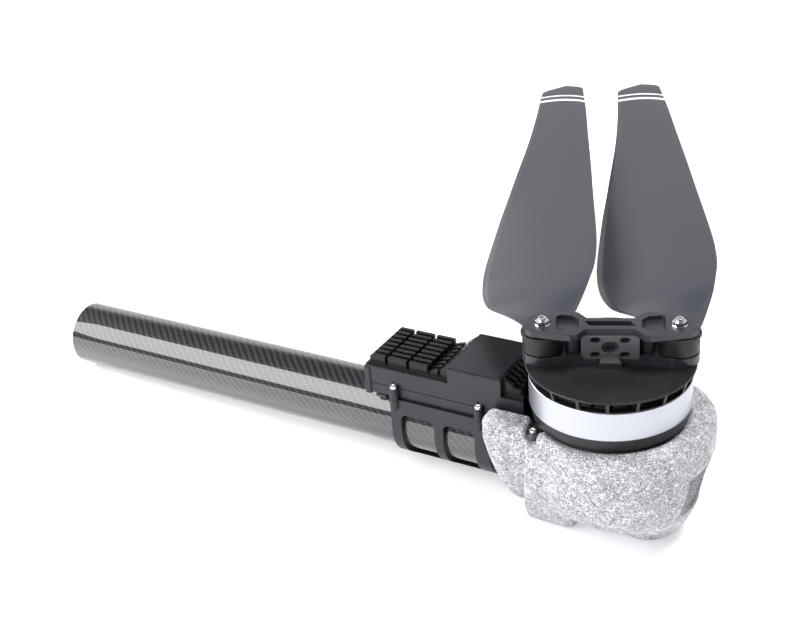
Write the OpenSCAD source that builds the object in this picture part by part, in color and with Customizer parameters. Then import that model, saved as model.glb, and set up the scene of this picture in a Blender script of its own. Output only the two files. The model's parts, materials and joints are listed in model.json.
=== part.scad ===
// Folding-propeller propulsion arm of a multirotor drone: a carbon tube that
// carries a speed controller, an outrunner motor in a foam cradle and a
// two-blade folding propeller.
// Origin: centre of the tube's open root end. +X runs along the tube to the
// motor, +Z is up, parallel to the motor's axis. The blades are folded at rest.

/* [Arm] */
// Outer diameter of the carbon tube
tube_d = 50; // [48:0.5:52]
// Wall thickness of the tube
tube_wall = 2; // [1.5:0.25:3]
// Length of the tube
tube_len = 432; // [425:1:436]
// Start of the reinforced stretch that carries the clamps
wrap_start = 285; // [270:1:286]
// Extra plies on the reinforced stretch, on the radius
wrap_t = 0.4; // [0.3:0.1:0.5]

/* [Motor] */
// Distance from the root end to the motor's axis
motor_x = 460.2; // [458:0.1:464]
// Outer radius of the silver rotor band
bell_r = 52.7; // [52:0.1:54]
// Height of the motor's underside
base_z = 41.8; // [41.5:0.1:42.2]
// Height of the rotor's lower edge
bell_z = 49.15; // [49:0.05:50]
// Height of the top of the silver band
band_top_z = 69.8; // [69:0.1:71]
// Height of the rotor's flat top
disc_z = 78.6; // [78:0.1:79]
// Outer radius of the rotor's flat top
disc_r = 55; // [54:0.1:56]
// Number of vent windows around the rotor
vents = 18; // [12:1:24]
// Number of stator teeth
teeth = 24; // [18:6:30]
// Number of rotor magnets
magnets = 28; // [20:2:32]

/* [Propeller] */
// Direction of the hub line, measured from +X
hub_angle = 21.6; // [0:0.1:45]
// Distance from the motor's axis to each fold pivot
pivot_x = 43; // [42:0.5:46]
// Distance from a pivot to its blade's tip
blade_len = 477.7; // [440:0.1:500]
// Blade angle near the root
root_pitch = 14; // [8:0.5:16]
// Blade angle at the tip
tip_pitch = 6; // [3:0.5:8]
// Height of the blade's middle at the root
blade_root_z = 93.5; // [93:0.1:94]
// Height of the blade's middle at the tip
blade_tip_z = 101; // [95:0.5:103]
// Turn of the right blade about its pivot when folded, towards the left blade
right_rest = 1.8; // [0:0.1:2]

/* [Speed controller] */
// Front end of the controller, along the tube
esc_x = 287; // [286:0.5:290]
// End of the controller's tall part
esc_tall_x = 393.5; // [390:0.5:394]
// End of the controller's low ledge
esc_end_x = 412; // [408:0.5:414]
// Half the width of the controller
esc_half = 26; // [25.5:0.1:27]
// Height of the housing's flange
esc_flange_z = 48.5; // [48:0.1:49]
// Height of the front fin tips
fin_z = 55.5; // [53:0.5:56]
// Height of the raised cover
cover_z = 61; // [59:0.5:62]
// Number of cooling fins across the width
fins = 8; // [6:1:10]

/* [Cradle] */
// Height of the foam rim
rim_z = 40.5; // [38:0.5:41]
// Lowest level of the foam feet
foot_z = -43.5; // [-44:0.5:-42.5]
// Radius of the foam bowl around the motor
bowl_r = 58; // [57:0.5:60]

/* [Hidden] */
$fn = 96;
tube_r = tube_d/2;
bore_r = tube_r - tube_wall;
seat_r = tube_r + wrap_t;           // what every clamp grips

// motor
base_r = 51.4;
gap_z = 0.3;                        // running gap under the rotor
shaft_r = 4.98;
journal_r = 5;                      // bore of the bearings
race_r = 11;                        // outside of the bearings
bearing_h = 6;
low_bearing_z = base_z + 3.2;
high_bearing_z = 66;
holder_r = 14;
holder_top = high_bearing_z + bearing_h + 1;
stator_r = 44.5;
stator_z = 53;
stator_h = 16;
yoke_r = 27;
tooth_w = 3.6;
coil_t = 1.9;
coil_r0 = 31;
coil_r1 = 41;
magnet_r0 = 45.4;
flux_r0 = 48.6;
band_r0 = 50.9;
mount_screw_r = 30;                 // radius of the motor's screw circle

// propeller hub, in its own axes: X along the hub line
hub_low_z = 85.5;                   // top of the base plate at its ends
hub_mid_z = 82.5;                   // top of the base plate under the block
plate_z = 99.5;                     // underside of the top plate
plate_top = 104;
block_half = 18.3;
block_y = 8.2;
lug_r = 13;
lug_flange_r = 14;
lug_z0 = 86;
lug_z1 = 99;
lug_flange_z = 97;
bolt_r = 2.5;
bolt_top = 108.2;
bush_bore_r = 2.54;
bush_r = 4;
post_x = 23.4;
post_r = 5;
nut_seat_z = 102.6;
under_screws = [[20, 5], [20, -5], [-20, 5], [-20, -5]];

// speed controller
skirt_z = 27.5;                     // lower edge of the housing's side walls
boss_x = [311.4, 377.3];
boss_y = 28.2;
boss_top = 36;
seam_z = 35;                        // joint line round the housing
slot_x = [303.5, 320.5, 337, 345];  // cross cuts through the front fins
cover_x = 353.5;
board_z = 34;
lead_y = [-8, 0, 8];
lead_z = 38.5;
lead_r = 2;
lead_x = motor_x - 24;

// saddle
strap_t = 3;
saddle_x0 = 307.6;
saddle_x1 = 384;

// mount and cradle
sleeve_x0 = 398;
sleeve_x1 = 446;
sleeve_r = 29.4;
plate_r = 47.5;
plate_low_z = 34;
clamp_x = [406, 438];
clamp_y = 30.5;
clamp_flange = 34;
ear_x = 423;
ear_y = 43.5;
ear_z = 36;
ear_low_z = 32;
ear_half = 4;                       // half the width of a mount ear
bowl_x = 470;
neck_z = -36;                       // lowest level of the lobe around the tube
lobe_z = -40.7;                     // lowest level of the middle lobe
arch_z = -35;                       // underside of the bowl between the feet

// ---- helpers ----

module along_x(x0, x1) { translate([x0, 0, 0]) rotate([90, 0, 90]) linear_extrude(x1 - x0) children(); }

module ring(r0, r1, z0, z1) {
    translate([0, 0, z0]) difference() {
        cylinder(r = r1, h = z1 - z0);
        translate([0, 0, -1]) cylinder(r = r0, h = z1 - z0 + 2);
    }
}

module rod(r, z0, z1) { translate([0, 0, z0]) cylinder(r = r, h = z1 - z0); }

// A rounded rectangle made of exact arcs
module round_rect(w, h, r) {
    square([w - 2*r, h], center = true);
    square([w, h - 2*r], center = true);
    for (sx = [-1, 1], sy = [-1, 1]) translate([sx*(w/2 - r), sy*(h/2 - r)]) circle(r);
}

module at_motor() { translate([motor_x, 0, 0]) children(); }

module at_hub() { at_motor() rotate(hub_angle) children(); }

module at_pivots() { at_hub() for (s = [-1, 1]) translate([s*pivot_x, 0, 0]) children(); }

module box(x0, x1, y0, y1, z0, z1) { translate([x0, y0, z0]) cube([x1 - x0, y1 - y0, z1 - z0]); }

// ---- arm ----

module arm_tube() {
    color("#26282c") difference() {
        union() {
            along_x(0, wrap_start) circle(tube_r);
            along_x(wrap_start, tube_len) circle(seat_r);
        }
        along_x(-1, tube_len + 1) circle(bore_r);
    }
}

// ---- motor mount ----

module ear(side) {
    box(ear_x - ear_half, ear_x + ear_half, side > 0 ? 26 : -ear_y + ear_half,
        side > 0 ? ear_y - ear_half : -26, ear_low_z, ear_z);
    translate([ear_x, side*(ear_y - ear_half), 0]) rod(ear_half, ear_low_z, ear_z);
}

module motor_mount() {
    color("#3a3b40") difference() {
        union() {
            intersection() {
                union() {
                    along_x(sleeve_x0, sleeve_x1) circle(sleeve_r);
                    box(sleeve_x0, sleeve_x1, -clamp_flange, clamp_flange, 0, 6);
                }
                box(sleeve_x0, sleeve_x1, -50, 50, 0.3, 50);
            }
            at_motor() rod(plate_r, plate_low_z, base_z);
            at_motor() rod(24, 2, plate_low_z);
            for (s = [-1, 1]) ear(s);
        }
        along_x(sleeve_x0 - 1, tube_len + 1) circle(seat_r);
        along_x(tube_len, sleeve_x1 - 4) circle(bore_r);
        box(400, lead_x + 4, -12, 12, lead_z - 3, base_z + 1);
        for (x = clamp_x, s = [-1, 1]) translate([x, s*clamp_y, -1]) cylinder(r = 1.5, h = 12);
        at_motor() for (a = [45:90:315]) rotate(a) translate([mount_screw_r, 0, 20]) {
            cylinder(r = 2.2, h = 30);
            cylinder(r = 4, h = plate_low_z - 20);
        }
        for (s = [-1, 1]) translate([ear_x, s*(ear_y - ear_half), ear_low_z + 1]) cylinder(r = 1.5, h = 20);
        at_motor() rod(9, 30, base_z + 1);
    }
}

module mount_clamp() {
    color("#3a3b40") difference() {
        intersection() {
            union() {
                along_x(sleeve_x0, sleeve_x1) circle(sleeve_r);
                box(sleeve_x0, sleeve_x1, -clamp_flange, clamp_flange, -6, 0);
            }
            box(sleeve_x0, sleeve_x1, -50, 50, -50, -0.3);
        }
        along_x(sleeve_x0 - 1, tube_len + 1) circle(seat_r);
        along_x(tube_len, sleeve_x1 - 4) circle(bore_r);
        for (x = clamp_x, s = [-1, 1]) translate([x, s*clamp_y, 0]) {
            rod(1.7, -10, 2);
            rod(3, -20, -6);
        }
    }
}

module mount_screws() {
    color("#8d9096") for (x = clamp_x, s = [-1, 1]) translate([x, s*clamp_y, 0]) difference() {
        union() {
            rod(1.5, -8, 5.5);
            rod(2.75, -9, -6);
        }
        translate([0, 0, -10]) cylinder(r = 1.4, h = 3, $fn = 6);
    }
}

// ---- foam cradle ----

// A foam lobe: a block whose sides bow in towards its bottom
module lobe(x0, x1, top_half, low_half, z0) {
    belly = top_half - 0.1*(top_half - low_half);
    hips = top_half - 0.35*(top_half - low_half);
    hull() {
        translate([x0, -top_half, rim_z - 10]) cube([x1 - x0, 2*top_half, 10]);
        translate([x0, -belly, rim_z - 40]) cube([x1 - x0, 2*belly, 8]);
        translate([x0 + 2, -hips, rim_z - 60]) cube([x1 - x0 - 2, 2*hips, 8]);
        translate([x0 + 6, -low_half, z0]) cube([x1 - x0 - 6, 2*low_half, 4]);
    }
}

module bowl() {
    hull() {
        translate([bowl_x, 0, rim_z - 6]) cylinder(r1 = bowl_r + 1, r2 = bowl_r - 3, h = 6, $fn = 48);
        translate([bowl_x, 0, rim_z - 30]) cylinder(r = bowl_r + 1, h = 8, $fn = 48);
        translate([bowl_x, 0, -4]) cylinder(r = 53, h = 4, $fn = 48);
        translate([bowl_x, 0, arch_z]) cylinder(r = 38, h = 4, $fn = 48);
    }
    hull() {
        translate([bowl_x, 0, -8]) cylinder(r = 51, h = 4, $fn = 48);
        translate([476, -27, foot_z]) cube([4, 54, 8]);
        translate([488, 0, foot_z]) cylinder(r = 23, h = 8, $fn = 48);
    }
}

module foam_cradle() {
    color("#c9cacf") difference() {
        union() {
            lobe(386.5, 424, 45, 25, neck_z);
            lobe(405, 445, 50, 29, lobe_z);
            bowl();
        }
        along_x(380, 450) circle(seat_r);
        along_x(sleeve_x0 - 0.5, sleeve_x1 + 0.5) circle(sleeve_r + 0.5);
        box(sleeve_x0 - 0.5, sleeve_x1 + 0.5, -clamp_flange - 0.5, clamp_flange + 0.5, -9.5, 20);
        box(380, sleeve_x1, -28.5, 28.5, 6, rim_z + 1);
        at_motor() rod(24.5, 0, rim_z);
        at_motor() rod(plate_r + 0.5, plate_low_z - 6, rim_z + 1);
        at_motor() rod(base_r + 1.5, rim_z - 2.5, rim_z + 1);
        for (s = [-1, 1]) {
            box(ear_x - 5, ear_x + 5, s > 0 ? 20 : -60, s > 0 ? 60 : -20, 34.5, rim_z + 1);
            translate([ear_x, s*20, 34.5]) rotate([-90*s, 0, 0]) cylinder(r = 5, h = 42);
        }
        box(524, 540, -17, 17, -8, 26);
    }
}

module cradle_screws() {
    color("#d5d7da") for (s = [-1, 1]) translate([ear_x, s*(ear_y - ear_half), 0]) {
        rod(1.5, 33, ear_z + 0.5);
        difference() {
            rod(2.7, ear_z, ear_z + 2.4);
            translate([0, 0, ear_z + 1.2]) cylinder(r = 1.4, h = 3, $fn = 6);
        }
    }
}

// ---- motor, fixed part ----

module motor_base() {
    color("#1d1e21") at_motor() difference() {
        union() {
            rod(base_r, base_z, bell_z - gap_z);
            rod(holder_r, base_z, holder_top);
        }
        rod(race_r, base_z - 1, low_bearing_z + bearing_h);
        rod(9, base_z, high_bearing_z + 1);
        rod(race_r, high_bearing_z, holder_top + 1);
        for (a = [45:90:315]) rotate(a) translate([mount_screw_r, 0, base_z - 1]) cylinder(r = 2, h = 6);
        for (y = lead_y) translate([lead_x - motor_x, y, base_z - 1]) cylinder(r = 2.4, h = 10);
    }
}

module motor_screws() {
    color("#8d9096") at_motor() for (a = [45:90:315]) rotate(a) translate([mount_screw_r, 0, 0]) {
        rod(2, plate_low_z - 1, base_z + 5);
        difference() {
            rod(3.5, plate_low_z - 4, plate_low_z);
            translate([0, 0, plate_low_z - 5]) cylinder(r = 1.7, h = 3, $fn = 6);
        }
    }
}

module stator_core() {
    color("#5d6066") at_motor() {
        difference() {
            union() {
                ring(holder_r, yoke_r, stator_z, stator_z + stator_h);
                ring(coil_r1 + 1, stator_r, stator_z, stator_z + stator_h);
                for (i = [0:teeth - 1]) rotate(i*360/teeth)
                    box(yoke_r - 1, coil_r1 + 2, -tooth_w/2, tooth_w/2, stator_z, stator_z + stator_h);
            }
            for (i = [0:teeth - 1]) rotate((i + 0.5)*360/teeth)
                box(coil_r1 - 1, stator_r + 1, -1, 1, stator_z - 1, stator_z + stator_h + 1);
        }
    }
}

module stator_windings() {
    color("#b4622d") at_motor() for (i = [0:teeth - 1]) rotate(i*360/teeth) difference() {
        box(coil_r0, coil_r1, -tooth_w/2 - coil_t, tooth_w/2 + coil_t, stator_z - 2, stator_z + stator_h + 2);
        box(coil_r0 - 1, coil_r1 + 1, -tooth_w/2, tooth_w/2, stator_z, stator_z + stator_h);
    }
}

module bearing(z) {
    color("#b9bcc1") at_motor() {
        ring(journal_r, 6.6, z, z + bearing_h);
        ring(9.2, race_r, z, z + bearing_h);
        ring(6.6, 9.2, z + 0.6, z + bearing_h - 0.6);
    }
}

module lower_bearing() { bearing(low_bearing_z); }

module upper_bearing() { bearing(high_bearing_z); }

// ---- motor, turning part ----

clip_z = low_bearing_z - 1.8;

module motor_shaft() {
    color("#a9adb3") at_motor() difference() {
        rod(shaft_r, base_z + 0.2, hub_mid_z - 0.5);
        ring(4.2, shaft_r + 1, clip_z, clip_z + 1.2);
    }
}

module shaft_circlip() {
    color("#4a4d52") at_motor() difference() {
        ring(4.3, 7.4, clip_z + 0.1, clip_z + 1.1);
        box(0, 9, -1.6, 1.6, clip_z - 1, clip_z + 2);
    }
}

module rotor_magnets() {
    color("#7a7d83") at_motor() difference() {
        ring(magnet_r0, flux_r0, bell_z + 2, band_top_z - 1);
        for (i = [0:magnets - 1]) rotate(i*360/magnets)
            box(magnet_r0 - 2, flux_r0 + 1, -0.7, 0.7, bell_z, band_top_z);
    }
}

module flux_ring() { color("#6c6f75") at_motor() ring(flux_r0, band_r0, bell_z, band_top_z); }

module bell_band() {
    color("#d9dbe0") at_motor() translate([0, 0, bell_z]) rotate_extrude()
        polygon([[band_r0, 0], [bell_r - 0.8, 0], [bell_r, 0.8], [bell_r, band_top_z - bell_z - 0.5],
            [bell_r - 0.5, band_top_z - bell_z], [band_r0, band_top_z - bell_z]]);
}

module rotor_cover() {
    rim = disc_z - band_top_z;
    skin = 1.2;
    half = 180/vents - 1.1;         // half a vent window's angle
    color("#17181a") at_motor() difference() {
        union() {
            translate([0, 0, band_top_z]) rotate_extrude() polygon([[flux_r0, 0], [bell_r - 0.2, 0],
                [disc_r - 0.2, rim - 1.3], [disc_r, rim - 0.7], [disc_r - 0.4, rim], [0, rim], [0, rim - skin],
                [bell_r - 2, rim - skin], [bell_r - 3, 0.7], [flux_r0, 0.7]]);
            rod(12, holder_top + 0.7, disc_z);
        }
        rod(journal_r, holder_top, disc_z + 1);
        for (i = [0:vents - 1]) rotate(i*360/vents) translate([0, 0, band_top_z + 0.7])
            linear_extrude(rim - 1.9) polygon([[44*cos(half), -44*sin(half)], [70*cos(half), -70*sin(half)],
                [70*cos(half), 70*sin(half)], [44*cos(half), 44*sin(half)]]);
        rotate(hub_angle) for (p = under_screws) translate([p[0], p[1], 70]) cylinder(r = 1.6, h = 12);
    }
}

// ---- propeller hub ----

module hub_base_outline() {
    for (s = [-1, 1]) translate([s*pivot_x, 0]) circle(lug_r + 0.2);
    polygon([[-pivot_x, -lug_r], [-block_half - 6, -9.5], [block_half + 6, -9.5], [pivot_x, -lug_r],
        [pivot_x, lug_r], [block_half + 6, 9.5], [-block_half - 6, 9.5], [-pivot_x, lug_r]]);
}

module hub_base_plate() {
    color("#242529") at_hub() difference() {
        translate([0, 0, disc_z]) linear_extrude(hub_low_z - disc_z) hub_base_outline();
        box(-block_half, block_half, -20, 20, hub_mid_z, hub_low_z + 1);
        rod(journal_r, disc_z - 1, hub_mid_z + 1);
        for (s = [-1, 1]) translate([s*pivot_x, 0, 0]) {
            rod(bolt_r, disc_z - 1, hub_low_z + 1);
            rod(4.6, disc_z - 1, disc_z + 3.5);
        }
        for (p = under_screws) translate([p[0], p[1], disc_z - 1]) cylinder(r = 1.5, h = 4.6);
    }
}

module hub_screws() {
    color("#8d9096") at_hub() for (p = under_screws) translate([p[0], p[1], 0]) {
        rod(1.5, disc_z - 2.5, disc_z + 3.5);
        rod(2.75, disc_z - 4.6, disc_z - 2);
    }
}

// Oval pockets in the block's front and back faces, with their middle at x, z
module oval(x, z, w, h) {
    for (y = [block_y + 7.5, -0.7]) translate([x, y, z]) rotate([90, 0, 0]) linear_extrude(block_y + 6.8) {
        square([w - h, h], center = true);
        for (s = [-1, 1]) translate([s*(w - h)/2, 0]) circle(h/2);
    }
}

module hub_block() {
    mid = (hub_mid_z + plate_z)/2;
    color("#3b3c41") at_hub() difference() {
        box(-block_half, block_half, -block_y, block_y, hub_mid_z, plate_z);
        oval(0, mid, 11, 8);
        for (sx = [-1, 1], sz = [-1, 1]) oval(sx*9.3, mid + sz*5.2, 6.6, 3.8);
    }
}

module hub_posts() {
    color("#2c2d31") at_hub() for (s = [-1, 1]) translate([s*post_x, 0, 0]) rod(post_r, hub_low_z, plate_z);
}

module blade_stop() {
    color("#141416") at_hub() difference() {
        translate([0, 0, disc_z]) linear_extrude(8)
            polygon([[-7, -13.5], [7, -13.5], [4.4, -block_y], [-4.4, -block_y]]);
        translate([0, -13.5, disc_z + 4]) rotate([34, 0, 0]) translate([-20, -20, 0]) cube([40, 40, 20]);
        box(-20, 20, -9.5, 20, disc_z - 1, hub_mid_z);
    }
}

module top_plate_outline() {
    quarter = [[15, 7.2], [20.5, 14.5], [25, 16], [50, 11], [53.5, 7.5]];
    polygon([for (p = quarter) [p[0], p[1]], for (i = [4:-1:0]) [quarter[i][0], -quarter[i][1]],
        for (p = quarter) [-p[0], -p[1]], for (i = [4:-1:0]) [-quarter[i][0], quarter[i][1]]]);
}

module hub_top_plate() {
    pocket_depth = 3;
    color("#2a2b30") at_hub() difference() {
        translate([0, 0, plate_z]) linear_extrude(plate_top - plate_z) top_plate_outline();
        translate([0, 0, plate_top - pocket_depth]) linear_extrude(pocket_depth + 1) {
            polygon([[-16.5, 3.1], [-13, -3.1], [16.5, -3.1], [13, 3.1]]);
            for (s = [-1, 1]) polygon([[s*19.5, -4.5], [s*24, -10], [s*32, -11.2], [s*34.5, -9], [s*34.5, 9],
                [s*32, 11.2], [s*24, 10], [s*19.5, 4.5]]);
        }
        for (s = [-1, 1]) translate([s*pivot_x, 0, 0]) {
            rod(bolt_r, plate_z - 1, plate_top + 1);
            rod(5.4, nut_seat_z, plate_top + 1);
        }
    }
}

module pivot_bolts() {
    color("#c9ccd1") at_pivots() difference() {
        union() {
            rod(bolt_r, disc_z + 1, bolt_top);
            rod(4.4, disc_z + 0.4, disc_z + 3.5);
        }
        translate([0, 0, bolt_top - 2.5]) cylinder(r = 1.6, h = 3, $fn = 6);
    }
}

module pivot_nuts() {
    color("#c9ccd1") at_pivots() difference() {
        union() {
            rod(5, nut_seat_z, nut_seat_z + 0.8);
            translate([0, 0, nut_seat_z + 0.8]) cylinder(r = 4.5, h = 2.8, $fn = 6);
        }
        rod(bolt_r, nut_seat_z - 1, nut_seat_z + 5);
    }
}

module pivot_washers() {
    color("#dadada") at_pivots() {
        ring(bolt_r, 8, hub_low_z, lug_z0 - 0.05);
        ring(bolt_r, 8, lug_z1 + 0.05, plate_z);
    }
}

// ---- blades, drawn along +Y from the pivot ----

// Half widths of the blade either side of its pivot line, at stations along it
lead_table = [[0, 11], [20, 16.6], [50, 25.4], [68, 28.8], [90, 32], [120, 33], [150, 32.2], [211, 29.4],
    [281, 26.3], [350, 22.8], [408, 20], [450, 17.2], [480, 15.6]];
trail_table = [[0, 11], [14, 14], [28, 24], [45, 34.5], [62, 42], [85, 46.8], [112, 49], [140, 48.6],
    [200, 43.8], [250, 38.2], [330, 29.6], [400, 25], [455, 23.2], [480, 22]];
thick_table = [[0, 10.5], [20, 9.4], [50, 7.6], [110, 5.8], [250, 4.2], [400, 3], [480, 2.2]];

function slope(t, i) = i == 0 || i == len(t) - 1 ? 0
    : (t[i + 1][1] - t[i - 1][1])/(t[i + 1][0] - t[i - 1][0]);

function hermite(t, i, u) = let (d = t[i + 1][0] - t[i][0])
    (2*u*u*u - 3*u*u + 1)*t[i][1] + (u*u*u - 2*u*u + u)*d*slope(t, i)
    + (3*u*u - 2*u*u*u)*t[i + 1][1] + (u*u*u - u*u)*d*slope(t, i + 1);

// A smooth curve through a table's points
function smooth(t, s, i = 0) = i >= len(t) - 2 || s <= t[i + 1][0]
    ? hermite(t, i, (s - t[i][0])/(t[i + 1][0] - t[i][0])) : smooth(t, s, i + 1);

// The round tip: shrinks the half widths to nothing over its last stretch
function corner(s) = s < blade_len - tip_r ? 1 : sqrt(max(0, 1 - pow((s - blade_len + tip_r)/tip_r, 2)));

function lead_edge(s) = smooth(lead_table, s)*corner(s);
function trail_edge(s) = -smooth(trail_table, s)*corner(s);
function ramp(s, a, b) = let (u = min(1, max(0, (s - a)/(b - a)))) u*u*(3 - 2*u);
function pitch(s) = ramp(s, 14, 60)*(root_pitch + (tip_pitch - root_pitch)*ramp(s, 60, blade_len));
function mid_z(s) = blade_root_z + (blade_tip_z - blade_root_z)*ramp(s, 0, blade_len);
function half_thick(u) = 2.6*(0.2969*sqrt(u) - 0.126*u - 0.3516*u*u + 0.2843*u*u*u - 0.0986*u*u*u*u) + 0.03;

tip_r = 13;                         // length of the tip that its arc takes
section_n = 7;                      // points from the leading to the trailing edge
span_n = 16;                        // stations up to the tip's rounding
tip_n = 5;                          // stations around the tip
function station(i) = i < span_n ? 2 + (blade_len - 22)*pow(i/span_n, 1.3)
    : blade_len - 0.3 - 19.7*pow((span_n + tip_n - i)/tip_n, 2);
stations = [for (i = [0:span_n + tip_n]) station(i)];

// How far the trailing edge curls down, u from the leading to the trailing edge
function droop(s, u) = 6*pow(u, 4)*ramp(s, 50, 110)*(1 - ramp(s, 160, 320));

// One closed section, leading edge first, over the top and back under
function section(s) = let (x1 = lead_edge(s), x0 = trail_edge(s), t = smooth(thick_table, s), a = pitch(s))
    [for (j = [0:2*section_n - 1]) let (
        top = j <= section_n,
        u = pow((top ? j : 2*section_n - j)/section_n, 1.6),
        x = x1 + (x0 - x1)*u,
        z = (top ? 1 : -1)*t*half_thick(u)*(s > blade_len - 12 ? 0.4 + 0.6*(blade_len - s)/12 : 1)
    ) [x, s, mid_z(s) + x*tan(a) + z + 0.9*sin(180*u)*ramp(s, 20, 80) - droop(s, u)]];

module blade_skin() {
    n = 2*section_n;
    m = len(stations);
    polyhedron(points = [for (s = stations) each section(s)], faces = concat(
        [[for (j = [n - 1:-1:0]) j]],
        [[for (j = [0:n - 1]) (m - 1)*n + j]],
        [for (i = [0:m - 2], j = [0:n - 1]) each [
            [i*n + j, (i + 1)*n + (j + 1) % n, (i + 1)*n + j],
            [i*n + j, i*n + (j + 1) % n, (i + 1)*n + (j + 1) % n]]]));
}

module blade(side) {
    color("#55565c") at_hub() translate([side*pivot_x, 0, 0]) rotate(side > 0 ? right_rest : 0) difference() {
        union() {
            blade_skin();
            rod(lug_r, lug_z0, lug_z1);
            rod(lug_flange_r, lug_flange_z, lug_z1);
        }
        rod(bush_r, lug_z0 - 1, lug_z1 + 1);
        rod(20, lug_z1, lug_z1 + 20);
        rod(15, lug_z0 - 20, lug_z0);
    }
}

module left_blade() { blade(-1); }

module right_blade() { blade(1); }

module bushing(side) {
    color("#b08d4a") at_hub() translate([side*pivot_x, 0, 0]) ring(bush_bore_r, bush_r, lug_z0, lug_z1);
}

module left_bushing() { bushing(-1); }

module right_bushing() { bushing(1); }

// ---- speed controller ----

module esc_outline(inset = 0) {
    half = esc_half - inset;
    translate([(esc_x + esc_tall_x)/2, 0]) round_rect(esc_tall_x - esc_x - 2*inset, 2*half, 3 - inset);
    translate([esc_tall_x - 10, -half]) square([esc_end_x - esc_tall_x + 10 - inset, 2*half]);
}

module esc_housing() {
    color("#2f3035") difference() {
        union() {
            translate([0, 0, skirt_z]) linear_extrude(seam_z - skirt_z) esc_outline();
            translate([0, 0, seam_z - 1]) linear_extrude(3) esc_outline(0.6);
            translate([0, 0, seam_z + 0.6]) linear_extrude(esc_flange_z - seam_z - 0.6) esc_outline();
            translate([esc_x + 2.5, 0, skirt_z - 1]) linear_extrude(esc_flange_z - skirt_z)
                round_rect(5, 2*esc_half + 2.6, 1.5);
            box(saddle_x0 + 0.5, esc_tall_x, -24.7, 24.7, 18, skirt_z + 1);
            for (x = boss_x, s = [-1, 1]) translate([x, s*boss_y, 0]) rod(3.4, skirt_z, boss_top);
        }
        along_x(esc_x - 1, esc_end_x + 1) circle(seat_r);
        along_x(sleeve_x0 - 0.4, esc_end_x + 1) circle(sleeve_r + 0.3);
        box(esc_x + 6, esc_tall_x - 6, -21, 21, 30, esc_flange_z + 1);
        box(esc_tall_x, esc_end_x + 1, -esc_half - 1, esc_half + 1, esc_flange_z - 1.5, esc_flange_z + 1);
        at_motor() rod(disc_r + 1.5, 0, 60);
        for (y = lead_y) translate([0, y, lead_z]) rotate([0, 90, 0]) rod(lead_r, esc_tall_x - 7, esc_end_x);
        for (x = boss_x, s = [-1, 1]) translate([x, s*boss_y, 0]) {
            rod(1.6, 20, 40);
            rod(2.8, boss_top, boss_top + 4);
        }
    }
}

fin_pitch = 2*21.6/(fins - 0.45);
fin_t = 0.5*fin_pitch;
function fin_y(i) = -21.9 + i*fin_pitch;

module heat_sink() {
    color("#1f2023") {
        box(esc_x + 2.5, cover_x, -23.5, 23.5, esc_flange_z, esc_flange_z + 1.6);
        box(esc_x + 7, esc_tall_x - 7, -20.5, 20.5, esc_flange_z - 2, esc_flange_z);
        box(esc_x + 12, cover_x - 4, -16, 16, 40, esc_flange_z - 1);
        for (i = [0:fins - 1]) difference() {
            translate([0, fin_y(i) + fin_t, 0]) rotate([90, 0, 0]) linear_extrude(fin_t)
                polygon([[esc_x + 3, esc_flange_z], [esc_x + 3, fin_z - 1.5], [esc_x + 4.5, fin_z],
                    [slot_x[2], fin_z], [slot_x[2] + 0.5, fin_z - 3], [slot_x[3], fin_z - 1],
                    [cover_x - 1, cover_z - 0.5], [cover_x, cover_z - 0.5], [cover_x, esc_flange_z]]);
            for (x = slot_x) box(x - 1.2, x + 1.2, -30, 30, esc_flange_z + 1.6, cover_z + 1);
        }
    }
}

module esc_cover() {
    color("#303136") difference() {
        union() {
            box(cover_x, esc_tall_x, -esc_half, esc_half, esc_flange_z, cover_z - 1.2);
            box(cover_x, esc_tall_x - 1.2, -esc_half + 1.2, esc_half - 1.2, esc_flange_z, cover_z);
        }
        box(cover_x + 2.5, esc_tall_x - 2.5, -21, 21, esc_flange_z - 1, cover_z - 2.2);
    }
}

// One rear fin: its upper edge falls to the ledge in waves
module rear_fin() {
    rotate([90, 0, 0]) linear_extrude(fin_t) difference() {
        polygon([[esc_tall_x, esc_flange_z - 0.5], [esc_tall_x, cover_z - 1.5], [esc_end_x - 2, esc_flange_z + 2],
            [esc_end_x - 2, esc_flange_z - 0.5]]);
        for (p = [[3.5, -1.2], [9, -5.8], [14.5, -10.2]])
            translate([esc_tall_x + p[0], cover_z + p[1]]) circle(1.9);
    }
}

module rear_fins() {
    color("#1b1c1f") difference() {
        union() {
            box(esc_tall_x, esc_end_x - 2, -23, 23, esc_flange_z - 1.5, esc_flange_z);
            for (i = [0:fins - 1]) translate([0, fin_y(i) + fin_t, 0]) rear_fin();
        }
        at_motor() rod(disc_r + 1.5, 0, 80);
    }
}

module circuit_board() {
    color("#1e5a36") box(esc_x + 7, esc_tall_x - 7, -20, 20, board_z, board_z + 1.6);
}

module power_transistors() {
    color("#202020") for (i = [0:5], s = [-1, 1])
        box(esc_x + 13 + i*7, esc_x + 18 + i*7, s*9 - 5, s*9 + 5, board_z + 1.6, board_z + 4);
}

module thermal_pad() { color("#7d8fa3") box(esc_x + 12, esc_x + 55, -15, 15, board_z + 4, 40); }

module capacitors() {
    color("#3d4a66") for (y = [-13.5, 0, 13.5]) translate([374, y, board_z + 1.6]) cylinder(r = 6.3, h = 10.5);
}

module phase_leads() {
    color("#1a1a1c") for (y = lead_y) {
        translate([0, y, lead_z]) rotate([0, 90, 0]) rod(lead_r, esc_tall_x - 6.5, lead_x);
        translate([lead_x, y, lead_z]) sphere(lead_r);
        translate([lead_x, y, 0]) rod(lead_r, lead_z, stator_z - 1);
    }
}

module signal_socket() { color("#101012") box(esc_x + 8, esc_x + 16, -26, -23, 24.5, skirt_z - 1); }

// ---- saddle ----

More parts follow.
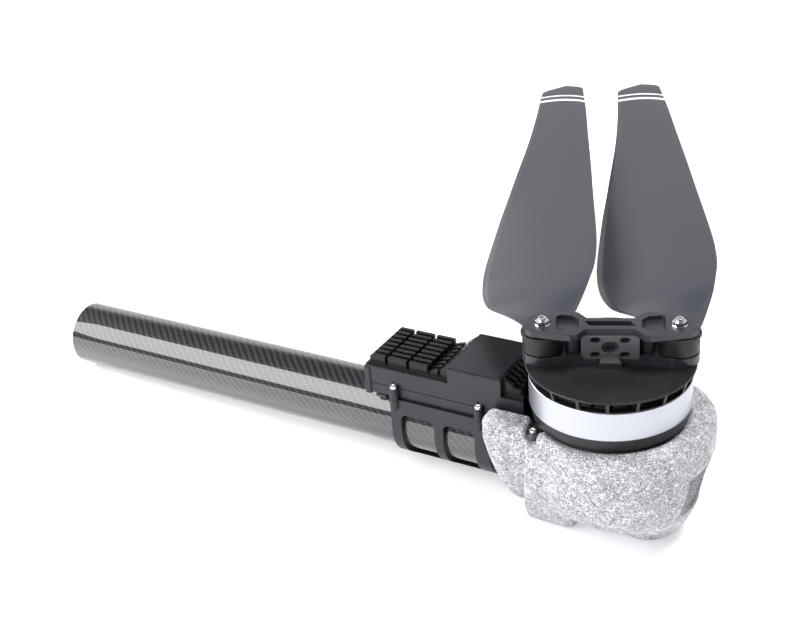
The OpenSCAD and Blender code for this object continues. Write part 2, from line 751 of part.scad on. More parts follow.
module saddle_profile() {
    difference() {
        union() {
            circle(seat_r + strap_t);
            translate([-seat_r - strap_t, 0]) square([2*(seat_r + strap_t), skirt_z - 0.5]);
        }
        circle(seat_r);
        translate([-seat_r, 0]) square([2*seat_r, 40]);
    }
}

module clamp_saddle() {
    color("#2f3035") difference() {
        union() {
            along_x(saddle_x0, saddle_x1) saddle_profile();
            for (x = boss_x, s = [-1, 1]) translate([x, s*boss_y, 0]) {
                rod(3.4, 21, skirt_z - 0.3);
                translate([0, 0, 18.5]) cylinder(r1 = 1.5, r2 = 3.4, h = 2.5);
            }
        }
        for (x = [328.6, 361], s = [-1, 1]) translate([x, s*20, -4.2]) rotate([90, 0, 0])
            linear_extrude(20, center = true) round_rect(x < 340 ? 26.4 : 24.6, 39, 5);
        for (x = boss_x, s = [-1, 1]) translate([x, s*boss_y, 20]) cylinder(r = 1.4, h = 20);
        along_x(saddle_x0 - 10, saddle_x1 + 1) circle(seat_r);
        translate([saddle_x0 - 10, -seat_r, 0]) cube([saddle_x1 - saddle_x0 + 11, 2*seat_r, 40]);
    }
}

module saddle_screws() {
    color("#dfe1e4") for (x = boss_x, s = [-1, 1]) translate([x, s*boss_y, 0]) {
        rod(1.4, 20.2, boss_top + 1);
        difference() {
            rod(2.6, boss_top, boss_top + 2.4);
            translate([0, 0, boss_top + 1.2]) cylinder(r = 1.4, h = 3, $fn = 6);
        }
    }
}

arm_tube();
motor_mount();
mount_clamp();
mount_screws();
foam_cradle();
cradle_screws();
motor_base();
motor_screws();
stator_core();
stator_windings();
lower_bearing();
upper_bearing();
motor_shaft();
shaft_circlip();
rotor_magnets();
flux_ring();
bell_band();
rotor_cover();
hub_base_plate();
hub_screws();
hub_block();
hub_posts();
blade_stop();
hub_top_plate();
pivot_bolts();
pivot_nuts();
pivot_washers();
left_bushing();
right_bushing();
left_blade();
right_blade();
esc_housing();
heat_sink();
esc_cover();
rear_fins();
circuit_board();
power_transistors();
thermal_pad();
capacitors();
phase_leads();
signal_socket();
clamp_saddle();
saddle_screws();
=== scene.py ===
"""Looks of a drone's folding propulsion arm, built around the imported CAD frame."""
import json
import math

import bpy
import numpy as np
from mathutils import Matrix, Vector


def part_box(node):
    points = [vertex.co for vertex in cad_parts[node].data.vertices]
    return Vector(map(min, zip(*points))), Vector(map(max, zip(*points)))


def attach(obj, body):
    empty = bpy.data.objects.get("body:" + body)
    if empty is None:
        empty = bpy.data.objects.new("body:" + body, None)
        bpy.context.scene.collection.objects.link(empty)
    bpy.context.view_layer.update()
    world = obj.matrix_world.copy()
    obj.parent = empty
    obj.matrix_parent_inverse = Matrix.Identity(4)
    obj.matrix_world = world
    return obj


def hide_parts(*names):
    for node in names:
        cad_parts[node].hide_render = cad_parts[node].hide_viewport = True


MM = 0.001
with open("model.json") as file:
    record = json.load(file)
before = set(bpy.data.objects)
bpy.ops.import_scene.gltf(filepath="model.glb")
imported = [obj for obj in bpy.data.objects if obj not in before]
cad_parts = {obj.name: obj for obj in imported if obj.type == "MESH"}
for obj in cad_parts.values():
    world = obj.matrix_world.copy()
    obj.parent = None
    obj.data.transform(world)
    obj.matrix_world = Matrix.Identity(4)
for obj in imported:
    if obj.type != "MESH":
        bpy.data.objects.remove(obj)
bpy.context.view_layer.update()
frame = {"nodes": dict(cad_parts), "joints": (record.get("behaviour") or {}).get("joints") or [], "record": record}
nodes = frame["nodes"]
joints = {j["name"]: j for j in frame["joints"]}

# ---- driving places, taken from the frame ----

MOTOR = Vector((joints["rotor_spin"]["pos_m"][0], joints["rotor_spin"]["pos_m"][1], 0))
LEFT_PIVOT = Vector(joints["left_blade_fold"]["pos_m"])
RIGHT_PIVOT = Vector(joints["right_blade_fold"]["pos_m"])
HUB_LINE = (RIGHT_PIVOT - LEFT_PIVOT).normalized()
HUB_ANGLE = math.atan2(HUB_LINE.y, HUB_LINE.x)
FOAM_LOW, FOAM_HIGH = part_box("foam_cradle")
TUBE_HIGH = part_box("arm_tube")[1]
TUBE_RADIUS = 0.025                 # bare tube, at its root

# ---- looks ----

TOW = 0.0016                        # width of one carbon tow
STRIPE_SLANT = 0.30                 # the tip stripes lean back towards the leading edge
STRIPE_BOW = 4.0                    # and bow outwards in the middle
OUTER_STRIPE = (0.4477, 0.0034)     # place along the blade, and width
INNER_STRIPE = (0.4360, 0.0052)
RECESS_HALF = Vector((0, 0.026, 0.017))     # the cradle's end recess: half its width and height
RECESS_START = FOAM_HIGH.x - 0.018          # nothing else of the foam lies in that window beyond here
FOOT_REACH = 0.49                   # from the tube's root to where the cradle's foot meets the floor
TENT_DIM = 0.10                     # brightness of the surroundings overhead
TENT_BACK = 1.1                     # and what the low back adds to it


# ---- small helpers ----

def link(obj):
    bpy.context.scene.collection.objects.link(obj)
    return obj


def mesh_object(name, verts, faces, material, smooth=True):
    mesh = bpy.data.meshes.new(name)
    mesh.from_pydata([tuple(v) for v in verts], [], faces)
    mesh.materials.append(material)
    mesh.validate()
    mesh.update()
    if smooth:
        for polygon in mesh.polygons:
            polygon.use_smooth = True
    return link(bpy.data.objects.new(name, mesh))


class Nodes:
    """A material's node tree, with short calls for the nodes used here."""

    def __init__(self, name):
        self.material = bpy.data.materials.new(name)
        self.material.use_nodes = True
        self.tree = self.material.node_tree
        self.tree.nodes.clear()
        self.out = self.tree.nodes.new("ShaderNodeOutputMaterial")
        self.shader = self.tree.nodes.new("ShaderNodeBsdfPrincipled")
        self.wire(self.shader.outputs[0], self.out.inputs[0])
        self.coords = self.tree.nodes.new("ShaderNodeTexCoord").outputs["Object"]

    def wire(self, a, b):
        self.tree.links.new(a, b)

    def put(self, socket, value):
        if isinstance(value, bpy.types.NodeSocket):
            self.wire(value, socket)
        else:
            socket.default_value = value

    def mapping(self, scale=(1, 1, 1), rotation=(0, 0, 0), location=(0, 0, 0)):
        node = self.tree.nodes.new("ShaderNodeMapping")
        self.wire(self.coords, node.inputs["Vector"])
        node.inputs["Scale"].default_value = scale
        node.inputs["Rotation"].default_value = rotation
        node.inputs["Location"].default_value = location
        return node.outputs[0]

    def noise(self, scale, detail=3.0, rough=0.5, vector=None, distortion=0.0):
        node = self.tree.nodes.new("ShaderNodeTexNoise")
        self.wire(vector or self.coords, node.inputs["Vector"])
        node.inputs["Scale"].default_value = scale
        node.inputs["Detail"].default_value = detail
        node.inputs["Roughness"].default_value = rough
        node.inputs["Distortion"].default_value = distortion
        return node.outputs["Fac"]

    def voronoi(self, scale, feature="F1", output="Distance", randomness=1.0, vector=None):
        node = self.tree.nodes.new("ShaderNodeTexVoronoi")
        node.feature = feature
        self.wire(vector or self.coords, node.inputs["Vector"])
        node.inputs["Scale"].default_value = scale
        node.inputs["Randomness"].default_value = randomness
        return node.outputs[output]

    def ramp(self, fac, stops, kind="LINEAR"):
        node = self.tree.nodes.new("ShaderNodeValToRGB")
        node.color_ramp.interpolation = kind
        while len(node.color_ramp.elements) < len(stops):
            node.color_ramp.elements.new(0.5)
        for element, (place, value) in zip(node.color_ramp.elements, stops):
            element.position = place
            element.color = value if len(value) == 4 else (*value, 1)
        self.wire(fac, node.inputs[0])
        return node.outputs[0]

    def math(self, kind, a, b=0.0, c=0.0, clamp=False):
        node = self.tree.nodes.new("ShaderNodeMath")
        node.operation = kind
        node.use_clamp = clamp
        for socket, value in zip(node.inputs, (a, b, c)):
            self.put(socket, value)
        return node.outputs[0]

    def mix(self, fac, a, b, kind="MIX"):
        node = self.tree.nodes.new("ShaderNodeMix")
        node.data_type = "RGBA"
        node.blend_type = kind
        self.put(node.inputs[0], fac)
        for socket, value in ((node.inputs[6], a), (node.inputs[7], b)):
            self.put(socket, (*value, 1) if isinstance(value, tuple) and len(value) == 3 else value)
        return node.outputs[2]

    def split(self, vector=None):
        node = self.tree.nodes.new("ShaderNodeSeparateXYZ")
        self.wire(vector or self.coords, node.inputs[0])
        return node.outputs

    def join(self, x, y, z):
        node = self.tree.nodes.new("ShaderNodeCombineXYZ")
        for socket, value in zip(node.inputs, (x, y, z)):
            self.put(socket, value)
        return node.outputs[0]

    def bump(self, height, distance, strength=1.0, edge=0.0):
        """Relief on the surface; edge is the radius that sharp edges are rounded to."""
        node = self.tree.nodes.new("ShaderNodeBump")
        node.inputs["Distance"].default_value = distance
        node.inputs["Strength"].default_value = strength
        self.wire(height, node.inputs["Height"])
        if edge:
            bevel = self.tree.nodes.new("ShaderNodeBevel")
            bevel.samples = 6
            bevel.inputs["Radius"].default_value = edge
            self.wire(bevel.outputs[0], node.inputs["Normal"])
        self.wire(node.outputs[0], self.shader.inputs["Normal"])

    def set(self, **values):
        names = {"color": "Base Color", "metallic": "Metallic", "rough": "Roughness", "coat": "Coat Weight",
                 "coat_rough": "Coat Roughness", "specular": "Specular IOR Level", "ior": "IOR",
                 "aniso": "Anisotropic", "sheen": "Sheen Weight", "sheen_rough": "Sheen Roughness",
                 "subsurface": "Subsurface Weight", "coat_ior": "Coat IOR"}
        for key, value in values.items():
            if isinstance(value, tuple) and len(value) == 3:
                value = (*value, 1)
            self.put(self.shader.inputs[names[key]], value)
        return self.material


# ---- materials ----

def anodised(name, color, rough=0.45, grain=9000, bump=0.000012, wear=0.3, metallic=0.35, edge=0.0005):
    """Bead-blasted, dark anodised metal with fine grain, faint blotches and paler dust."""
    n = Nodes(name)
    blotch = n.noise(35, 4, 0.6)
    grains = n.noise(grain, 2, 0.7)
    pale = tuple(min(1, c*(1 + wear) + 0.004) for c in color)
    dark = tuple(c*(1 - wear*0.6) for c in color)
    tint = n.mix(n.ramp(blotch, [(0.3, (0, 0, 0)), (0.7, (1, 1, 1))]), dark, pale)
    tint = n.mix(n.math("MULTIPLY", grains, 0.35), tint, pale)
    n.bump(grains, bump, edge=edge)
    roughness = n.math("MULTIPLY_ADD", blotch, 0.14, rough - 0.07)
    return n.set(color=tint, rough=roughness, metallic=metallic, specular=0.5)


def bright_metal(name, color, rough=0.2, brushed=(900, 900, 30), bump=0.000004):
    """Machined metal with fine turning or brush marks."""
    n = Nodes(name)
    marks = n.noise(1.0, 3, 0.6, vector=n.mapping(scale=brushed))
    smudge = n.noise(120, 3, 0.5)
    tint = n.mix(n.ramp(marks, [(0.35, (0, 0, 0)), (0.65, (1, 1, 1))]), tuple(c*0.86 for c in color), color)
    n.bump(marks, bump, edge=0.00015)
    roughness = n.math("MULTIPLY_ADD", smudge, 0.16, rough - 0.05)
    return n.set(color=tint, rough=roughness, metallic=1.0)


def carbon_tube():
    """Twill carbon under clear lacquer: the weave is wrapped round the tube's own axis, along X."""
    n = Nodes("carbon_twill")
    x, y, z = n.split()
    around = n.math("MULTIPLY", n.math("ARCTAN2", y, z), TUBE_HIGH.z)
    wander = n.math("MULTIPLY", n.noise(40, 2, 0.5), 0.0012)
    u = n.math("DIVIDE", n.math("ADD", x, wander), TOW)
    v = n.math("DIVIDE", n.math("ADD", around, wander), TOW)
    # 2/2 twill: which tow is on top depends on the diagonal of the cell
    diagonal = n.math("FLOORED_MODULO", n.math("ADD", n.math("FLOOR", u), n.math("FLOOR", v)), 4.0)
    along_top = n.math("LESS_THAN", diagonal, 2.0)
    across_top = n.math("SUBTRACT", 1.0, along_top)
    bow_u = tow_bow(n, u)
    bow_v = tow_bow(n, v)
    fibres_along = n.noise(1.0, 2, 0.5, vector=n.mapping(scale=(150, 9000, 9000)))
    fibres_across = n.noise(1.0, 2, 0.5, vector=n.mapping(scale=(9000, 500, 500)))
    # Painted sheen on the twill: tows along X are coloured brighter than tows round the tube, and each tow's crown
    # lighter than its edges, for the light the lacquered weave catches
    along = n.math("MULTIPLY_ADD", n.math("MULTIPLY", bow_v, fibres_along), 0.55, 0.34)
    across = n.math("MULTIPLY_ADD", n.math("MULTIPLY", bow_u, fibres_across), 0.35, 0.0)
    shade = n.math("ADD", n.math("MULTIPLY", along, along_top), n.math("MULTIPLY", across, across_top))
    color = n.ramp(shade, [(0.0, (0.003, 0.003, 0.004)), (0.35, (0.014, 0.014, 0.016)),
                           (0.75, (0.060, 0.060, 0.068))])
    height = n.math("ADD", n.math("MULTIPLY", bow_v, along_top), n.math("MULTIPLY", bow_u, across_top))
    n.bump(height, 0.00003, 0.25)
    return n.set(color=color, rough=0.36, specular=0.25, coat=1.0, coat_rough=0.03, coat_ior=1.75)


def tow_bow(n, cells):
    """The rounded crown of each tow, from 0 at its edges to 1 in its middle."""
    part = n.math("FRACT", cells)
    return n.math("MULTIPLY", n.math("MULTIPLY", part, n.math("SUBTRACT", 1.0, part)), 4.0)


def bead_foam():
    """Moulded bead foam, mottled like granite: pale beads, dark seams between them and fine dark flecks, with
    painted glints and a painted darkening in its end recess.
    """
    n = Nodes("bead_foam")
    bead_scale = 430                # beads about 2.3 mm across
    warp = n.noise(300, 2, 0.5)
    place = n.tree.nodes.new("ShaderNodeVectorMath")
    place.operation = "ADD"
    n.wire(n.coords, place.inputs[0])
    n.wire(n.join(n.math("MULTIPLY", warp, 0.003), n.math("MULTIPLY", warp, -0.002), 0.0), place.inputs[1])
    beads = n.voronoi(bead_scale, vector=place.outputs[0])
    seams = n.voronoi(bead_scale, feature="DISTANCE_TO_EDGE", vector=place.outputs[0])
    tone = n.split(n.voronoi(bead_scale, output="Color", vector=place.outputs[0]))
    flecks = n.noise(1500, 3, 0.75)
    clouds = n.noise(70, 3, 0.6)
    base = n.mix(tone[0], (0.55, 0.55, 0.59), (0.89, 0.89, 0.92))
    seam = n.math("MULTIPLY", n.ramp(seams, [(0.0, (1, 1, 1)), (0.11, (0, 0, 0))]),
                  n.ramp(n.noise(420, 2, 0.5), [(0.42, (0, 0, 0)), (0.56, (1, 1, 1))]))
    color = n.mix(n.math("MULTIPLY", seam, 0.75), base, (0.16, 0.16, 0.19))
    mask = n.ramp(n.math("ADD", flecks, n.math("MULTIPLY", clouds, 0.14)),
                  [(0.0, (1, 1, 1)), (0.53, (1, 1, 1)), (0.56, (0, 0, 0))])
    color = n.mix(n.math("MULTIPLY", mask, 0.9), color, (0.08, 0.08, 0.105))
    # Painted highlights: near-white specks of colour stand in for glints of light on the foam's surface
    painted_glints = n.ramp(flecks, [(0.62, (0, 0, 0)), (0.69, (1, 1, 1))])
    color = n.mix(n.math("MULTIPLY", painted_glints, 0.6), color, (0.96, 0.96, 0.98))
    # Painted shade: the ribbed end recess is coloured darker than the rest, for the shade that falls in it
    x, y, z = n.split()
    recess = n.math("MULTIPLY", n.math("GREATER_THAN", x, RECESS_START),
                    n.math("MULTIPLY", n.math("LESS_THAN", n.math("ABSOLUTE", y), RECESS_HALF.y),
                           n.math("LESS_THAN", n.math("ABSOLUTE", z), RECESS_HALF.z)))
    color = n.mix(n.math("MULTIPLY", recess, 0.5), color, (0.16, 0.16, 0.18))
    height = n.math("SUBTRACT", n.math("MULTIPLY", flecks, 0.6), n.math("ADD", beads, seam))
    n.bump(height, 0.0008, 0.7)
    return n.set(color=color, rough=0.6, specular=0.4)


def blade_composite():
    """Matte moulded composite with fine pebble grain, and two pale curved stripes across the tip.

    Its coordinates are the blade's own: the origin at the pivot, Y towards the tip."""
    n = Nodes("blade_composite")
    grain = n.noise(2600, 2, 0.6)
    clouds = n.noise(14, 4, 0.55)
    patches = n.ramp(clouds, [(0.3, (0, 0, 0)), (0.7, (1, 1, 1))])
    color = n.mix(patches, (0.033, 0.035, 0.046), (0.043, 0.045, 0.056))
    color = n.mix(n.math("MULTIPLY", grain, 0.25), color, (0.060, 0.063, 0.077))
    x, y, z = n.split()
    slant = n.math("MULTIPLY", x, STRIPE_SLANT)
    from_middle = n.math("ABSOLUTE", n.math("ADD", x, 0.005))
    bow = n.math("MULTIPLY", n.math("POWER", from_middle, 2.0), STRIPE_BOW)
    along = n.math("ADD", n.math("ADD", y, slant), bow)
    stripes = n.math("ADD", stripe(n, along, *OUTER_STRIPE), stripe(n, along, *INNER_STRIPE), clamp=True)
    paint = n.mix(grain, (0.78, 0.78, 0.83), (0.90, 0.90, 0.95))
    color = n.mix(stripes, color, paint)
    n.bump(n.math("ADD", grain, n.math("MULTIPLY", stripes, 0.8)), 0.00003, 0.5)
    roughness = n.math("MULTIPLY_ADD", clouds, 0.12, 0.38)
    return n.set(color=color, rough=roughness, specular=0.4)


def stripe(n, along, middle, width):
    """1 where along is within the stripe, 0 outside it."""
    return n.math("LESS_THAN", n.math("ABSOLUTE", n.math("SUBTRACT", along, middle)), width/2)


def plain_plastic(name, color, rough=0.5, grain=3000):
    n = Nodes(name)
    grains = n.noise(grain, 2, 0.6)
    blotch = n.noise(80, 3, 0.5)
    tint = n.mix(n.math("MULTIPLY", grains, 0.4), color, tuple(min(1, c*1.5 + 0.01) for c in color))
    n.bump(grains, 0.00001)
    return n.set(color=tint, rough=n.math("MULTIPLY_ADD", blotch, 0.15, rough - 0.07))


def wound_copper():
    """Enamelled copper wire laid side by side."""
    n = Nodes("wound_copper")
    z = n.split()[2]
    turns = n.math("SINE", n.math("MULTIPLY", z, 7800.0))
    patch = n.noise(260, 3, 0.6)
    color = n.mix(patch, (0.42, 0.10, 0.03), (0.72, 0.25, 0.09))
    n.bump(turns, 0.00008)
    return n.set(color=color, rough=0.3, metallic=0.75, coat=0.5, coat_rough=0.15)


def laminated_steel():
    n = Nodes("laminated_steel")
    z = n.split()[2]
    sheets = n.math("SINE", n.math("MULTIPLY", z, 12000.0))
    spots = n.noise(300, 3, 0.5)
    color = n.mix(spots, (0.18, 0.19, 0.21), (0.34, 0.35, 0.37))
    n.bump(sheets, 0.00004)
    return n.set(color=color, rough=0.42, metallic=0.8)


def silver_band():
    """Fine blasted silver anodising with faint turning lines round the band."""
    n = Nodes("silver_band")
    z = n.split()[2]
    lines = n.noise(1.0, 2, 0.6, vector=n.join(0.0, 0.0, n.math("MULTIPLY", z, 9000.0)))
    blast = n.noise(7000, 2, 0.6)
    color = n.mix(n.math("ADD", n.math("MULTIPLY", lines, 0.3), n.math("MULTIPLY", blast, 0.4)),
                  (0.44, 0.45, 0.49), (0.56, 0.57, 0.62))
    n.bump(n.math("ADD", lines, blast), 0.000006)
    return n.set(color=color, rough=0.33, metallic=0.85)


SLOT_MATERIALS = {
    "carbon": carbon_tube(),
    "mount_metal": anodised("mount_metal", (0.085, 0.086, 0.095), 0.5),
    "fasteners": bright_metal("bright_screws", (0.86, 0.87, 0.89), 0.16),
    "foam": bead_foam(),
    "motor_black": anodised("motor_black", (0.014, 0.014, 0.017), 0.38, metallic=0.3),
    "silver_band": silver_band(),
    "laminations": laminated_steel(),
    "copper": wound_copper(),
    "steel": bright_metal("ground_steel", (0.56, 0.57, 0.59), 0.26),
    "magnet": bright_metal("magnet_plating", (0.42, 0.43, 0.45), 0.3),
    "hub_metal": anodised("hub_metal", (0.030, 0.030, 0.037), 0.28),
    "stop_rubber": plain_plastic("stop_rubber", (0.012, 0.012, 0.013), 0.6),
    "slip_plastic": plain_plastic("slip_plastic", (0.70, 0.70, 0.68), 0.4),
    "bronze": bright_metal("bush_bronze", (0.55, 0.38, 0.16), 0.35),
    "blade": blade_composite(),
    "esc_black": anodised("controller_black", (0.018, 0.018, 0.023), 0.42),
    "fin_black": anodised("fin_black", (0.004, 0.004, 0.005), 0.36),
    "board": plain_plastic("solder_mask", (0.02, 0.14, 0.06), 0.3),
    "component": plain_plastic("component_mould", (0.02, 0.02, 0.02), 0.55),
    "pad": plain_plastic("thermal_silicone", (0.30, 0.36, 0.44), 0.7),
    "can": bright_metal("capacitor_can", (0.30, 0.34, 0.45), 0.35),
    "lead": plain_plastic("lead_silicone", (0.015, 0.015, 0.016), 0.5),
    "socket": plain_plastic("socket_mould", (0.015, 0.015, 0.016), 0.45),
}

LUG_METAL = anodised("lug_metal", (0.010, 0.010, 0.013), 0.4)
# The hub block's copy of the hub metal is coloured lighter: a painted reflection of the floor and the front on its
# face
BLOCK_PAINTED_REFLECTION = anodised("block_metal_painted_reflection", (0.105, 0.105, 0.115), 0.34)


# ---- foam cradle: a smooth moulded body, shaped as a distance field in millimetres ----

RIM = FOAM_HIGH.z/MM
FOOT = FOAM_LOW.z/MM
BOWL_X = FOAM_HIGH.x/MM - 59
LOBE_X = FOAM_LOW.x/MM
AXIS_X = MOTOR.x/MM
EAR_X = 424
SLOT_HALF = 5.4
SLOT_Z = 36.2                       # middle of the slot's round lower end
NET_STEP = 0.8                      # spacing of the field's grid


def smooth_min(a, b, k):
    h = np.maximum(k - np.abs(a - b), 0)/k
    return np.minimum(a, b) - h*h*k/4


def smooth_max(a, b, k):
    return -smooth_min(-a, -b, k)


def swell(z, low, high, power):
    """0 at low, rising quickly and then levelling off to 1 at high."""
    return 1 - (1 - np.clip((z - low)/(high - low), 0, 1))**power


def lobe_field(x, y, z, x0, x1, lean, top_half, low_half, low_z):
    """A block whose sides bow in towards its bottom; its rear end moves by lean on the way down."""
    rise = swell(z, low_z, RIM, 3)
    sides = 0.92*(np.abs(y) - low_half - (top_half - low_half)*rise)
    ends = np.maximum(x0 + lean*np.clip((24 - z)/58, 0, 1) - x, x - x1)
    return smooth_max(smooth_max(sides, ends, 6), np.maximum(low_z - z, z - RIM), 5)


def bowl_field(x, y, z):
    half_x = 40 + 18*swell(z, -36, 20, 1.8)
    half_y = 28 + 31*swell(z, -36, 8, 2.4)
    square = ((np.abs(x - BOWL_X)/half_x)**2.3 + (np.abs(y)/half_y)**2.3)**(1/2.3)
    bowl = smooth_max((square - 1)*half_y, np.maximum(-36.5 - z, z - RIM), 7)
    foot_radius = 19 + 14*swell(z, FOOT, -13, 1.6)
    foot = smooth_max(np.hypot(x - 488, 0.9*y) - foot_radius, np.maximum(FOOT - z, z + 12), 4)
    foot = smooth_max(foot, 478 - x, 1.5)
    return smooth_min(bowl, foot, 1.5)


def box_field(x, y, z, x0, x1, half_y, z0, z1):
    return np.maximum(np.maximum(np.maximum(x0 - x, x - x1), np.abs(y) - half_y), np.maximum(z0 - z, z - z1))


def cradle_field(x, y, z):
    """Below 0 inside the foam."""
    rear = lobe_field(x, y, z, LOBE_X, 428, 14, 45, 23, -34)
    middle = lobe_field(x, y, z, 421, 448, -8, 51, 33, -40.7)
    body = smooth_min(smooth_min(rear, middle, 0.8), bowl_field(x, y, z), 3)
    shaft = np.hypot(x - AXIS_X, y)
    tube = np.hypot(y, z)
    cuts = [
        np.maximum(tube - 25.7, x - 450),
        np.maximum(tube - 29.9, np.abs(x - 422) - 24.5),
        box_field(x, y, z, 397.5, 446.5, 34.5, -9.5, 20),
        box_field(x, y, z, 370, 446, 28.5, 6, 60),
        np.maximum(shaft - 24.5, -z),
        np.maximum(shaft - 48, 28 - z),
        np.maximum(shaft - 51.5, RIM - 1.8 - z),
    ]
    # The slots that the mount's two ears show through: open above, round below
    round_end = np.hypot(x - EAR_X, z - SLOT_Z) - SLOT_HALF
    slot = np.minimum(round_end, box_field(x, y, z, EAR_X - SLOT_HALF, EAR_X + SLOT_HALF, 90, SLOT_Z, 60))
    cuts.append(np.maximum(slot, 20 - np.abs(y)))
    for cut in cuts:
        body = smooth_max(body, -cut, 2.5)
    # The end recess, with upright ribs across it
    ribs = 1.1*np.sin(2*math.pi*(y + 0.25*z)/4.2)
    window = np.maximum(np.abs(y) - RECESS_HALF.y/MM, np.abs(z) - RECESS_HALF.z/MM)
    recess = np.maximum(BOWL_X + 47.5 + ribs - x, window)
    return smooth_max(body, -recess, 0.8)


def net_surface(field, origin, step):
    """Vertices and quads of the surface where a field on a grid crosses 0."""
    inside = field < 0
    shape = np.array(field.shape) - 1
    corners = [np.array(c) for c in np.ndindex(2, 2, 2)]
    count = sum(inside[c[0]:shape[0] + c[0], c[1]:shape[1] + c[1], c[2]:shape[2] + c[2]].astype(np.int8)
                for c in corners)
    cells = np.argwhere((count > 0) & (count < 8))
    total = np.zeros(cells.shape)
    hits = np.zeros(len(cells))
    for a in corners:
        for axis in range(3):
            if a[axis]:
                continue
            b = a + np.eye(3, dtype=int)[axis]
            fa = field[tuple((cells + a).T)]
            fb = field[tuple((cells + b).T)]
            crossed = (fa < 0) != (fb < 0)
            share = np.where(crossed, fa/np.where(crossed, fa - fb, 1), 0)
            total += np.where(crossed[:, None], a + share[:, None]*(b - a), 0)
            hits += crossed
    verts = origin + step*(cells + total/hits[:, None])
    number = np.full(shape, -1)
    number[tuple(cells.T)] = np.arange(len(cells))
    quads = []
    for axis in range(3):
        one, two = np.eye(3, dtype=int)[[(axis + 1) % 3, (axis + 2) % 3]]
        along = np.eye(3, dtype=int)[axis]
        low = inside[tuple(slice(1, n) for n in shape)]
        high = inside[tuple(slice(1 + along[i], shape[i] + along[i]) for i in range(3))]
        edges = np.argwhere(low != high) + 1
        ring = np.stack([number[tuple((edges - d).T)] for d in (0*one, one, one + two, two)], axis=1)
        out = inside[tuple(edges.T)]
        quads.append(np.where(out[:, None], ring, ring[:, ::-1]))
    return verts, np.concatenate(quads)


def build_cradle():
    """The foam cradle around the motor, the mount and the tube."""
    low = np.array([LOBE_X, FOAM_LOW.y/MM, FOOT]) - 3*NET_STEP
    size = [int(n) for n in (np.array(FOAM_HIGH)/MM - low)/NET_STEP + 4]
    x, y, z = (low[i] + NET_STEP*np.arange(size[i]).reshape([-1 if j == i else 1 for j in range(3)])
               for i in range(3))
    field = cradle_field(x, y, z)
    verts, quads = net_surface(field, low, NET_STEP)
    cradle = mesh_object("foam_body", verts*MM, quads.tolist(), SLOT_MATERIALS["foam"])
    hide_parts("foam_cradle")
    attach(cradle, "arm")


# ---- blades: dense moulded skins in the blade's own axes, in millimetres ----

BLADE_LENGTH = 477.7
ROOT_PITCH, TIP_PITCH = math.radians(14), math.radians(6)
ROOT_Z, TIP_Z = 93.5, 101.0
RIGHT_REST = math.radians(1.8)
LEAD = [(0, 11), (20, 16.6), (50, 25.4), (68, 28.8), (90, 32), (120, 33), (150, 32.2), (211, 29.4),
        (281, 26.3), (350, 22.8), (408, 20), (450, 17.2), (480, 15.6)]
TRAIL = [(0, 11), (14, 14), (28, 24), (45, 34.5), (62, 42), (85, 46.8), (112, 49), (140, 48.6),
         (200, 43.8), (250, 38.2), (330, 29.6), (400, 25), (455, 23.2), (480, 22)]
THICK = [(0, 10.5), (20, 9.4), (50, 7.6), (110, 5.8), (250, 4.2), (400, 3), (480, 2.2)]
TIP_ARC = 13
BLADE_STATIONS, BLADE_CHORD = 150, 26


def slope(table, i):
    if i in (0, len(table) - 1):
        return 0
    return (table[i + 1][1] - table[i - 1][1])/(table[i + 1][0] - table[i - 1][0])


def smooth(table, s):
    """A smooth curve through a table's points."""
    i = next(k for k in range(len(table) - 1) if s <= table[k + 1][0] or k == len(table) - 2)
    d = table[i + 1][0] - table[i][0]
    u = (s - table[i][0])/d
    return ((2*u**3 - 3*u*u + 1)*table[i][1] + (u**3 - 2*u*u + u)*d*slope(table, i)
            + (3*u*u - 2*u**3)*table[i + 1][1] + (u**3 - u*u)*d*slope(table, i + 1))


def ramp(s, a, b):
    u = min(1, max(0, (s - a)/(b - a)))
    return u*u*(3 - 2*u)


def tip_round(s):
    start = BLADE_LENGTH - TIP_ARC
    return 1 if s < start else math.sqrt(max(0, 1 - ((s - start)/TIP_ARC)**2))


def half_thickness(u):
    return 2.6*(0.2969*math.sqrt(u) - 0.126*u - 0.3516*u**2 + 0.2843*u**3 - 0.0986*u**4) + 0.03


def blade_section(s):
    """One closed section: the leading edge, over the top to the trailing edge, and back under."""
    shrink = tip_round(s)
    lead, trail = smooth(LEAD, s)*shrink, -smooth(TRAIL, s)*shrink
    thin = 0.25 + 0.75*min(1, (BLADE_LENGTH - s)/12)
    thick = smooth(THICK, s)*thin
    pitch = ramp(s, 14, 60)*(ROOT_PITCH + (TIP_PITCH - ROOT_PITCH)*ramp(s, 60, BLADE_LENGTH))
    middle = ROOT_Z + (TIP_Z - ROOT_Z)*ramp(s, 0, BLADE_LENGTH)
    curl = 6*ramp(s, 50, 110)*(1 - ramp(s, 160, 320))
    points = []
    for j in range(2*BLADE_CHORD):
        top = j <= BLADE_CHORD
        u = ((j if top else 2*BLADE_CHORD - j)/BLADE_CHORD)**1.6
        x = lead + (trail - lead)*u
        z = (1 if top else -1)*thick*half_thickness(u)
        camber = 0.9*math.sin(math.pi*u)*ramp(s, 20, 80) - curl*u**4
        points.append((x, s, middle + x*math.tan(pitch) + z + camber))
    return points


def loft(sections):
    """Vertices and faces of a closed skin through rings of points."""
    n = len(sections[0])
    verts = [p for ring in sections for p in ring]
    faces = [tuple(range(n - 1, -1, -1)), tuple((len(sections) - 1)*n + j for j in range(n))]
    for i in range(len(sections) - 1):
        for j in range(n):
            k = (j + 1) % n
            faces.append((i*n + j, i*n + k, (i + 1)*n + k, (i + 1)*n + j))
    return verts, faces


def lathe(profile, sides=96):
    """A turned ring: a closed profile of (radius, height) swept round Z."""
    verts = [(r*math.cos(a), r*math.sin(a), z) for a in (2*math.pi*i/sides for i in range(sides))
             for r, z in profile]
    m = len(profile)
    faces = [(i*m + j, ((i + 1) % sides)*m + j, ((i + 1) % sides)*m + (j + 1) % m, i*m + (j + 1) % m)
             for i in range(sides) for j in range(m)]
    return verts, faces


